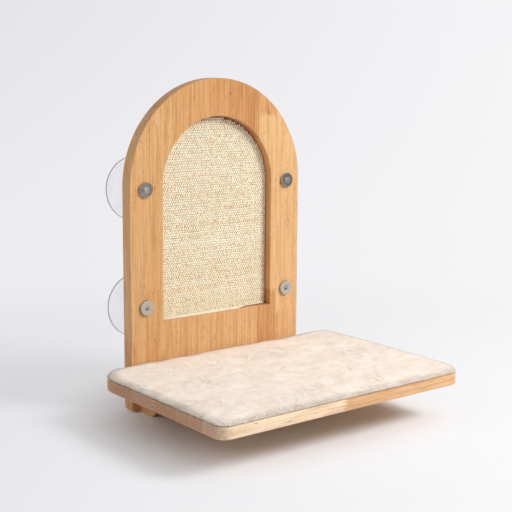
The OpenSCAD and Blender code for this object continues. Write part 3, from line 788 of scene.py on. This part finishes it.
PAD_REAR_R = 38 * MM
PAD_FRONT_R = 16 * MM
PAD_OUTLINE = (pad_high.x, pad_low.y, pad_high.y, PAD_FRONT_R, PAD_REAR_R)
PAD_SHY = 0.1 * MM
PAD_DRAW = 1.0 * MM
RIM_DROOP = 0.8 * MM
RIM_RISE = 4.0 * MM
CROWN = 0.5 * MM
LOFT = 4.2 * MM
LOFT_FROM = 140 * MM
LOFT_RUN = 60 * MM
PILE_PAST = 0.6 * MM
CLOTH = {"vertex_group_mass": "held", "quality": 4, "mass": 0.3, "tension_stiffness": 12,
         "compression_stiffness": 12, "bending_stiffness": 0.4, "shrink_min": -0.012,
         "use_pressure": True, "uniform_pressure_force": 4}


def smaller(outline, by):
    """An outline drawn in by that much all round: half width, both ends in Y, both radii."""
    half, y0, y1, front_r, rear_r = outline
    return half - by, y0 + by, y1 - by, front_r - by, rear_r - by


def edge_lines(low, high, step, fine):
    """Places from low to high: close together near both ends, step apart between."""
    first, last = low + fine[-1], high - fine[-1]
    inner = np.linspace(first, last, int(round((high - low - 2 * fine[-1]) / step)) + 1)
    return np.concatenate([low + fine[:-1], inner, (high - fine[:-1])[::-1]])


def round_corners(x, y, half, y0, y1, front_r, rear_r):
    """Moves the points of a rectangle's grid so that its four corners come out round."""
    x, y = x.copy(), y.copy()
    for sign_x in (-1, 1):
        for sign_y, r, edge in ((-1, front_r, y0), (1, rear_r, y1)):
            a = (x - sign_x * (half - r)) * sign_x
            b = (y - (edge - sign_y * r)) * sign_y
            inside = (a > 0) & (b > 0)
            new_a = a * np.sqrt(np.clip(1 - b * b / (2 * r * r), 0, 1))
            new_b = b * np.sqrt(np.clip(1 - a * a / (2 * r * r), 0, 1))
            x = np.where(inside, sign_x * (half - r + new_a), x)
            y = np.where(inside, (edge - sign_y * r) + sign_y * new_b, y)
    return x, y


def inward(x, y, half, y0, y1, front_r, rear_r):
    """How far a point lies inside an outline."""
    middle = (y0 + y1) / 2
    r = np.where(y < middle, front_r, rear_r)
    qx = np.abs(x) - (half - r)
    qy = np.abs(y - middle) - ((y1 - y0) / 2 - r)
    outside = np.hypot(np.maximum(qx, 0), np.maximum(qy, 0))
    return r - outside - np.minimum(np.maximum(qx, qy), 0)


def pad_shell(step):
    """The pad as one closed skin, a little smaller than the CAD cover: verts, faces and the
    numbers of the verts of its underside. Its rim droops, and its right end is loftier."""
    outline = smaller(PAD_OUTLINE, PAD_SHY)
    half, y0, y1 = outline[:3]
    fine = np.array([0, 0.5, 1.3, 2.6, 4.4, 7.0]) * MM
    xs, ys = edge_lines(-half, half, step, fine), edge_lines(y0, y1, step, fine)
    gx, gy = np.meshgrid(xs, ys, indexing="ij")
    x, y = round_corners(gx, gy, *outline)
    d = inward(x, y, *outline)
    shoulder = (0.17 * np.clip(d / (0.5 * MM), 0, 1)
                + 0.83 * (1 - (1 - np.clip(d / (12 * MM), 0, 1)) ** 2))
    crown = 1 - (1 - np.clip(d / (90 * MM), 0, 1)) ** 2
    end = np.clip((x - LOFT_FROM) / LOFT_RUN, 0, 1)
    loft = LOFT * end * end * (3 - 2 * end)
    top = pad_low.z - RIM_DROOP + (RIM_RISE + RIM_DROOP + loft) * shoulder + CROWN * crown
    droop = (RIM_DROOP + 0.1 * MM) * (1 - np.clip(d / (4 * MM), 0, 1))
    under = smaller(outline, PAD_DRAW)
    under_y = (gy - (y0 + y1) / 2) * (1 - 2 * PAD_DRAW / (y1 - y0)) + (y0 + y1) / 2
    bx, by = round_corners(gx * under[0] / half, under_y, *under)
    verts, faces = closed_skin((x, y, top), (bx, by, pad_low.z + 0.02 * MM - droop))
    return verts, faces, list(range(gx.size, 2 * gx.size))


def rows_of(items, key):
    """The three numbers that each of a mesh's items has under this key, one row each."""
    found = np.zeros(len(items) * 3, np.float32)
    items.foreach_get(key, found)
    return found.reshape(-1, 3).astype(float)


def put_places(mesh, spots):
    mesh.vertices.foreach_set("co", spots.astype(np.float32).ravel())
    mesh.update()


def puffed(made, held, cap):
    """Blows the skin up as cloth with its underside held, and caps how far it moves, which is
    less near its edges."""
    start = rows_of(made.data.vertices, "co")
    group = made.vertex_groups.new(name="held")
    group.add(held, 1.0, "REPLACE")
    modifier = made.modifiers.new("Cloth", "CLOTH")
    for key, value in CLOTH.items():
        setattr(modifier.settings, key, value)
    modifier.settings.effector_weights.gravity = 0
    modifier.collision_settings.use_collision = False
    modifier.collision_settings.use_self_collision = False
    for number in range(1, 21):
        bpy.context.scene.frame_set(number)
    shaped = made.evaluated_get(bpy.context.evaluated_depsgraph_get()).to_mesh()
    move = rows_of(shaped.vertices, "co") - start
    made.modifiers.remove(modifier)
    made.vertex_groups.clear()
    bpy.context.scene.frame_set(1)
    d = inward(start[:, 0], start[:, 1], *PAD_OUTLINE)
    move *= (0.25 + 0.75 * np.clip(d / (35 * MM), 0, 1))[:, None]
    move[held] = 0
    length = np.linalg.norm(move, axis=1, keepdims=True)
    move = move * np.tanh(length / cap) * cap / np.maximum(length, 1e-9)
    put_places(made.data, start + move)


def subdivided(made):
    modifier = made.modifiers.new("Subdivision", "SUBSURF")
    modifier.levels = modifier.render_levels = 1
    bpy.context.view_layer.objects.active = made
    bpy.ops.object.modifier_apply(modifier=modifier.name)


def napped(mesh):
    """Raises the skin of the top and sides in patches and small tufts, as its pile lies."""
    co, normal = rows_of(mesh.vertices, "co"), rows_of(mesh.vertex_normals, "vector")
    lift = np.zeros(len(co))
    for i in np.flatnonzero(normal[:, 2] >= -0.1):
        x, y, z = co[i]
        swirl = noise.noise((x * 15, y * 15, 4.0))
        broad = noise.noise((x * 34, y * 38, 1.0))
        tuft = noise.noise((x * 110 + swirl * 3, y * 130 + swirl * 3, 2.0 + z * 110))
        lift[i] = 0.26 * broad + 0.20 * tuft
    co += normal * (lift * MM)[:, None]
    co[:, 1] = np.minimum(co[:, 1], pad_high.y + 0.5 * MM)
    put_places(mesh, co)


def soft_rim(mesh):
    """Shades the rim almost as the top, as the upright pile on it is."""
    co, normal = rows_of(mesh.vertices, "co"), rows_of(mesh.vertex_normals, "vector")
    d = inward(co[:, 0], co[:, 1], *PAD_OUTLINE)
    normal[:, 2] += np.where(normal[:, 2] > -0.05, 4.0 * (1 - np.clip(d / (15 * MM), 0, 1)), 0)
    mesh.normals_split_custom_set_from_vertices(unit(normal).tolist())


def make_pad():
    verts, faces, held = pad_shell(3.4 * MM)
    made = piece("plush_pad", verts, faces, plush_material, "pad", ("plush_cover",))
    puffed(made, held, 1.1 * MM)
    subdivided(made)
    napped(made.data)
    soft_rim(made.data)
    return made


# Pile, fringe and stitches of the pad

def tufts(name, spots, directions, lengths, widths, shading, keep):
    """Small closed spikes of pile, three-sided and shaded mostly as the surface that they
    stand on, where keep is true and they don't reach far behind the pad."""
    tips = spots + directions * lengths[:, None]
    keep = keep & (tips[:, 1] < pad_high.y + PILE_PAST)
    spots, directions, tips, widths, shading = (
        given[keep] for given in (spots, directions, tips, widths, shading))
    side, other = square_to(directions, 0.9)
    outward = [side * math.cos(a) + other * math.sin(a)
               for a in (0, 2 * math.pi / 3, 4 * math.pi / 3)]
    corners = [spots + way * widths[:, None] for way in outward]
    verts = np.stack([*corners, tips], axis=1).reshape(-1, 3)
    start = np.arange(len(spots))[:, None] * 4
    faces = np.concatenate([start + [0, 1, 3], start + [1, 2, 3], start + [2, 0, 3],
                            start + [2, 1, 0]])
    made = piece(name, verts, faces.tolist(), strand_material, "pad")
    own = np.stack([*outward, directions], 1)
    soft = unit(shading[:, None, :] + own * 0.22)
    made.data.normals_split_custom_set_from_vertices(soft.reshape(-1, 3).tolist())


def pile_field(name, skin, count, edge_share, reach, long, wide, lie, stray):
    """Pile rooted in the pad's skin: count strands, more of them within reach of its edge by
    edge_share. long and wide are ranges in millimetres. They lie over by lie, in a direction
    that changes in patches, and stand up towards the edge. stray is how far strands differ."""
    kept = [p for p in skin.polygons if p.normal.z > 0.05]
    centres = np.array([p.center[:] for p in kept])
    faced = np.array([p.normal[:] for p in kept])
    areas = np.array([p.area for p in kept])
    near = np.clip(1 - inward(centres[:, 0], centres[:, 1], *PAD_OUTLINE) / reach, 0, 1)
    weight = areas * (1 - edge_share + edge_share * near)
    chosen = rng.choice(len(centres), size=count, p=weight / weight.sum())
    edge, faced = near[chosen][:, None], faced[chosen]
    spots = centres[chosen] + rng.normal(0, 0.8 * MM, (count, 3))
    spots[:, 2] = np.minimum(spots[:, 2], centres[chosen][:, 2]) - 0.35 * MM
    spots -= faced * edge * (0.4 * MM)
    angle = np.array([noise.noise((x * 15, y * 15, 3.0)) * 2.4
                      + noise.noise((x * 90, y * 90, 8.0)) * 0.7 for x, y, z in spots]) + 0.9
    lean = np.stack([np.cos(angle), np.sin(angle), np.zeros(count)], -1)
    directions = faced * (1 - lie + lie * edge) + lean * (lie - 0.7 * lie * edge)
    directions = unit(directions + rng.normal(0, stray, directions.shape))
    lengths = rng.uniform(*long, count) * MM * (1 - 0.2 * edge[:, 0])
    widths = rng.uniform(*wide, count) * MM
    clear_of_seat = spots[:, 2] + directions[:, 2] * lengths > pad_low.z - RIM_DROOP
    shading = faced * (0.5 - 0.35 * edge) + np.array([0, 0, 0.8])
    tufts(name, spots, directions, lengths, widths, shading, clear_of_seat)


def outline_walk(offset, step):
    """Points round the pad's outline, that far inside it, and the outward direction at each."""
    corners = []
    for sx, sy, r in ((1, -1, PAD_FRONT_R), (1, 1, PAD_REAR_R), (-1, 1, PAD_REAR_R),
                      (-1, -1, PAD_FRONT_R)):
        centre_y = pad_low.y + r if sy < 0 else pad_high.y - r
        turn = math.atan2(sy, sx) - math.pi / 4
        for k in range(13):
            a = turn + math.pi / 2 * k / 12
            corners.append((sx * (pad_high.x - r) + (r - offset) * math.cos(a),
                            centre_y + (r - offset) * math.sin(a), math.cos(a), math.sin(a)))
    points = np.array(corners + corners[:1])
    run = np.concatenate([[0], np.cumsum(np.hypot(*np.diff(points[:, :2], axis=0).T))])
    stops = np.arange(0, run[-1] - step / 2, step)
    return np.stack([np.interp(stops, run, points[:, k]) for k in range(4)], -1)


def pad_fringe():
    """Pile that hangs from the pad's rim to just above the seat, all but at the back."""
    x, y, out_x, out_y = np.repeat(outline_walk(0.8 * MM, 0.5 * MM), 3, axis=0).T
    count = len(x)
    shaken = rng.uniform(-0.3, 0.3, (count, 2)) * MM
    level = pad_low.z + rng.uniform(-0.3, 0.9, count) * MM
    spots = np.stack([x + shaken[:, 0], y + shaken[:, 1], level], -1)
    drop = rng.uniform(0.15, 0.85, count)
    sideways = rng.normal(0, 0.28, count)
    directions = unit(np.stack([out_x * 0.8 - out_y * sideways,
                                out_y * 0.8 + out_x * sideways, -drop], -1))
    seat_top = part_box("seat_board")[1].z
    room = (level - seat_top - rng.uniform(0.6, 1.2, count) * MM) / -directions[:, 2]
    lengths = np.minimum(rng.uniform(1.8, 3.0, count) * MM, room)
    widths = rng.uniform(0.28, 0.46, count) * MM
    shading = np.stack([out_x * 0.1, out_y * 0.1, np.full(count, 0.9)], -1)
    tufts("plush_fringe", spots, directions, lengths, widths, shading, out_y < 0.8)


# each point of an edge stitch: how far in and how far up, in millimetres, and its share across
STITCH = ((3.6, 2.4, 0), (1.8, 1.4, 0.3), (0.5, 0.3, 0.5), (-0.2, -0.5, 0.7), (0.4, -1.0, 1.0))
STITCH_PITCH = 4.4 * MM
STITCH_SLANT = 0.9 * MM
THREAD_R = 0.28 * MM


def pad_overlock():
    """Edge stitches: pale thread over the pad's rim every few millimetres."""
    lines = []
    for x, y, ox, oy in outline_walk(0, STITCH_PITCH):
        path = []
        for inset, z, share in STITCH:
            across = STITCH_SLANT * (share - 0.5)
            path.append((x - ox * inset * MM - oy * across, y - oy * inset * MM + ox * across,
                         pad_low.z + z * MM))
        lines.append(path)
    thread = cloth("overlock_thread", linear(196, 198, 204), linear(226, 226, 228), 3000.0, 0.1)
    made = tubes("pad_overlock", lines, THREAD_R, 4, thread, "pad")


# The pad's underside, core and tapes

TAPE_LONG = 80 * MM
TAPE_WIDE = 20 * MM
TAPE_CORNER = 3 * MM
TAPE_THICK = 0.42 * MM
TAPE_EASE = 0.35 * MM
CURLS_ACROSS = 8
CURLS_ALONG = 33
CURL_STEP = (2.15 * MM, 2.3 * MM)
CURL_REACH = 0.42 * MM
CURL_RISE = 0.40 * MM
UNDER_INSET = 4 * MM


def sheet_piece(name, node, step, relief, material):
    """A thin sheet with the pad's corners and a slightly uneven face above and below."""
    low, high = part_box(node)
    gx, gy = np.meshgrid(np.linspace(low.x, high.x, int((high.x - low.x) / step)),
                         np.linspace(low.y, high.y, int((high.y - low.y) / step)), indexing="ij")
    x, y = round_corners(gx, gy, high.x, low.y, high.y, PAD_FRONT_R - UNDER_INSET,
                         PAD_REAR_R - UNDER_INSET)
    wave = np.array([noise.noise((a * 90, b * 90, 5.0)) for a, b in zip(x.ravel(), y.ravel())])
    wave = (wave.reshape(x.shape) * 0.5 - 0.5) * relief
    wave[[0, -1], :] = -relief
    wave[:, [0, -1]] = -relief
    verts, faces = closed_skin((x, y, high.z + wave), (x, y, low.z - wave))
    return piece(name, verts, faces, material, "pad", (node,))


def backing_sheets():
    """The pad's underside and the foam in it."""
    under = cloth("backing_weave", linear(222, 216, 204), linear(244, 240, 232), 1000.0, 0.1)
    foam = cloth("foam_cells", linear(212, 206, 186), linear(238, 232, 214), 2400.0, 0.0)
    sheet_piece("pad_underside", "pad_backing", 5 * MM, 0.12 * MM, under)
    core = sheet_piece("pad_foam", "foam_sheet", 6 * MM, 0.3 * MM, foam)


def tape_solids(middles, ground, up):
    """Verts and faces of strips with round corners, eased on the side away from the ground."""
    verts, faces = [], []
    for cx, cy in middles:
        ring = []
        for qx, qy, turn in ((1, 1, 0), (-1, 1, 1), (-1, -1, 2), (1, -1, 3)):
            for k in range(5):
                a = math.pi / 2 * (turn + k / 4)
                ring.append((cx + qx * (TAPE_WIDE / 2 - TAPE_CORNER) + TAPE_CORNER * math.cos(a),
                             cy + qy * (TAPE_LONG / 2 - TAPE_CORNER) + TAPE_CORNER * math.sin(a)))
        base = len(verts)
        for share, ease in ((0, 0), (0.75, 0), (1.0, TAPE_EASE)):
            verts += [(x - math.copysign(ease, x - cx), y - math.copysign(ease, y - cy),
                       ground + up * TAPE_THICK * share) for x, y in ring]
        faces += [face[::-up] for face in tube_faces(3, len(ring), base)]
    return verts, faces


def tape_curls(middles, ground, up, curl):
    """The lines of the small hooks or loops: arcs of curl half turns, each a random way."""
    lines = []
    for cx, cy in middles:
        for i in range(CURLS_ACROSS):
            for j in range(CURLS_ALONG):
                x = cx + (i - (CURLS_ACROSS - 1) / 2) * CURL_STEP[0] + rng.normal(0, 0.12) * MM
                y = cy + (j - (CURLS_ALONG - 1) / 2) * CURL_STEP[1] + rng.normal(0, 0.12) * MM
                a = rng.uniform(0, 2 * math.pi)
                foot = np.array([x, y, ground + up * (TAPE_THICK - 0.1 * MM)])
                way = np.array([math.cos(a), math.sin(a), 0]) * CURL_REACH
                rise = np.array([0, 0, up * CURL_RISE])
                lines.append([foot + way * (1 - math.cos(t)) + rise * math.sin(t)
                              for t in np.linspace(0, curl, 5) * math.pi])
    return lines


def tape_strips(name, node, body, up, curl, radius):
    """Four strips of tape, each with a field of small hooks or loops."""
    low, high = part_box(node)
    ground = low.z if up > 0 else high.z
    middles = [(sx * (high.x - TAPE_WIDE / 2),
                low.y + TAPE_LONG / 2 if sy < 0 else high.y - TAPE_LONG / 2)
               for sx in (-1, 1) for sy in (-1, 1)]
    weave = cloth(name + "_weave", linear(206, 200, 188), linear(236, 231, 222), 1300.0, 0.1)
    verts, faces = tape_solids(middles, ground, up)
    piece(name, verts, faces, weave, body, (node,), smooth=False)
    curls = tape_curls(middles, ground, up, curl)
    tubes(name + "_field", curls, radius, 3, weave, body)


plush_material = plush("cream_plush", 0.35, 0.0, 1.0)
strand_material = plush("cream_strands", 0.85, 0.25, 0.0)
skin = make_pad().data
pile_field("plush_pile", skin, 44000, 0.0, 7 * MM, (2.4, 4.2), (0.32, 0.55), 0.84, 0.14)
pile_field("plush_rim", skin, 21000, 1.0, 11 * MM, (1.8, 3.4), (0.28, 0.46), 0.5, 0.30)
pad_fringe()
pad_overlock()
backing_sheets()
tape_strips("hook_tape", "hook_strips", "perch", 1, 0.72, 0.11 * MM)
tape_strips("loop_tape", "loop_strips", "pad", -1, 1.0, 0.09 * MM)


# Stage

FLOOR_HALF = 4.0
FLOOR_DROP = 0.15 * MM
FADE_NEAR = (0.14, 0.34)
FADE_FAR = (0.36, 1.15)
STAGE_MIDDLE = Vector((0.008, -0.15, cad_box[0][2]))
CARD_MIDDLE = Vector((0.95, -1.32, 0.16))
CARD_ALONG = Vector((0.81, 0.585, 0.0))
CARD_HALF = (0.95, 0.36)
LAMP_TARGET = Vector((0.0, -0.12, -0.02))
LOW_LIGHT = 0.52
RIM_LIGHT = 0.17
HIGH_LIGHT = 0.42


def stage_sheet(name, middle, wide, tall):
    """A flat sheet of the stage, given by its middle and its half extents."""
    mesh = bpy.data.meshes.new(name)
    corners = (-wide - tall, wide - tall, wide + tall, tall - wide)
    mesh.from_pydata([tuple(c) for c in corners], [], [(0, 1, 2, 3)])
    made = bpy.data.objects.new(name, mesh)
    made.location = middle
    bpy.context.scene.collection.objects.link(made)
    return made


def stage_floor():
    """A pale floor that shows the shadow and fades into the backdrop further out."""
    floor = stage_sheet("studio_floor", STAGE_MIDDLE - Vector((0, 0, FLOOR_DROP)),
                        Vector((FLOOR_HALF, 0, 0)), Vector((0, FLOOR_HALF, 0)))
    sh = paint("studio_floor")
    distance = sh.vector_math("LENGTH", sh.here)
    near = sh.span(distance, *FADE_NEAR, ease="SMOOTHSTEP")
    far = sh.span(distance, *FADE_FAR, ease="SMOOTHSTEP")
    seen = sh.blend(0.36, near, far)
    fade = sh.blend(sh.ray("Camera", "Transmission"), far, seen)
    pale = sh.simple("BsdfDiffuse", linear(238, 241, 247))
    floor.data.materials.append(sh.finish(sh.both(fade, pale, sh.simple("BsdfTransparent"))))


def warm(level):
    """The colour of a soft light of this level, a little warm."""
    return level * 1.04, level * 0.99, level * 0.93


def stage_world():
    """Pale behind the object. For light it is soft above, dim at the horizon, and as pale
    below as an endless floor."""
    world = bpy.data.worlds.new("studio")
    bpy.context.scene.world = world
    sh = Shade(world, "Generated")
    height = sh.split(sh.here)[2]
    aside = sh.vector_math("DOT_PRODUCT", sh.here, (0.787, -0.617, 0.0))
    across = sh.span(aside, -0.26, 0.26)
    low = sh.mix(across, linear(235, 234, 238), linear(246, 246, 247))
    high = sh.mix(across, linear(226, 225, 231), linear(245, 245, 247))
    seen = sh.simple("Background", sh.mix(sh.span(height, -0.12, 0.10), low, high))
    sky = sh.ramp(sh.span(height, -1.0, 1.0), [
        (0.0, warm(LOW_LIGHT)), (0.44, warm(LOW_LIGHT)), (0.50, warm(RIM_LIGHT)),
        (0.62, warm(RIM_LIGHT)), (0.85, warm(HIGH_LIGHT)), (1.0, warm(HIGH_LIGHT))])
    light = sh.simple("Background", sky)
    sh.finish(sh.both(sh.ray("Camera", "Glossy", "Transmission"), light, seen), "World")


def softbox(name, direction, distance, size, level, colour=(1, 1, 1)):
    """A square lamp that lights a face turned to it at this level."""
    data = bpy.data.lights.new(name, "AREA")
    data.shape = "SQUARE"
    data.size = size
    data.color = colour
    data.energy = math.pi ** 2 * distance * distance * level
    lamp = bpy.data.objects.new(name, data)
    aim = Vector(direction).normalized()
    lamp.location = LAMP_TARGET + aim * distance
    lamp.rotation_euler = (-aim).to_track_quat("-Z", "Y").to_euler()
    lamp.visible_glossy = False
    bpy.context.scene.collection.objects.link(lamp)


def grey_card():
    """A grey card that only gloss sees, low on the right, as the dim end of a studio."""
    card = stage_sheet("grey_card", CARD_MIDDLE, CARD_ALONG * CARD_HALF[0],
                       Vector((0, 0, CARD_HALF[1])))
    sh = paint("grey_card")
    card.data.materials.append(sh.finish(sh.simple("Emission", (0.19, 0.185, 0.18))))
    for kind in ("camera", "diffuse", "shadow", "transmission"):
        setattr(card, "visible_" + kind, False)


stage_floor()
stage_world()
grey_card()
softbox("key_softbox", (0.51, -0.65, 0.565), 2.2, 0.8, 0.91, (1.0, 0.985, 0.965))
softbox("top_softbox", (0.5, -0.3, 1.0), 1.9, 1.4, 0.13)
softbox("side_softbox", (-0.95, 0.2, 0.25), 2.2, 1.6, 0.18, (0.97, 0.98, 1.0))
bpy.context.scene.view_settings.view_transform = "Standard"
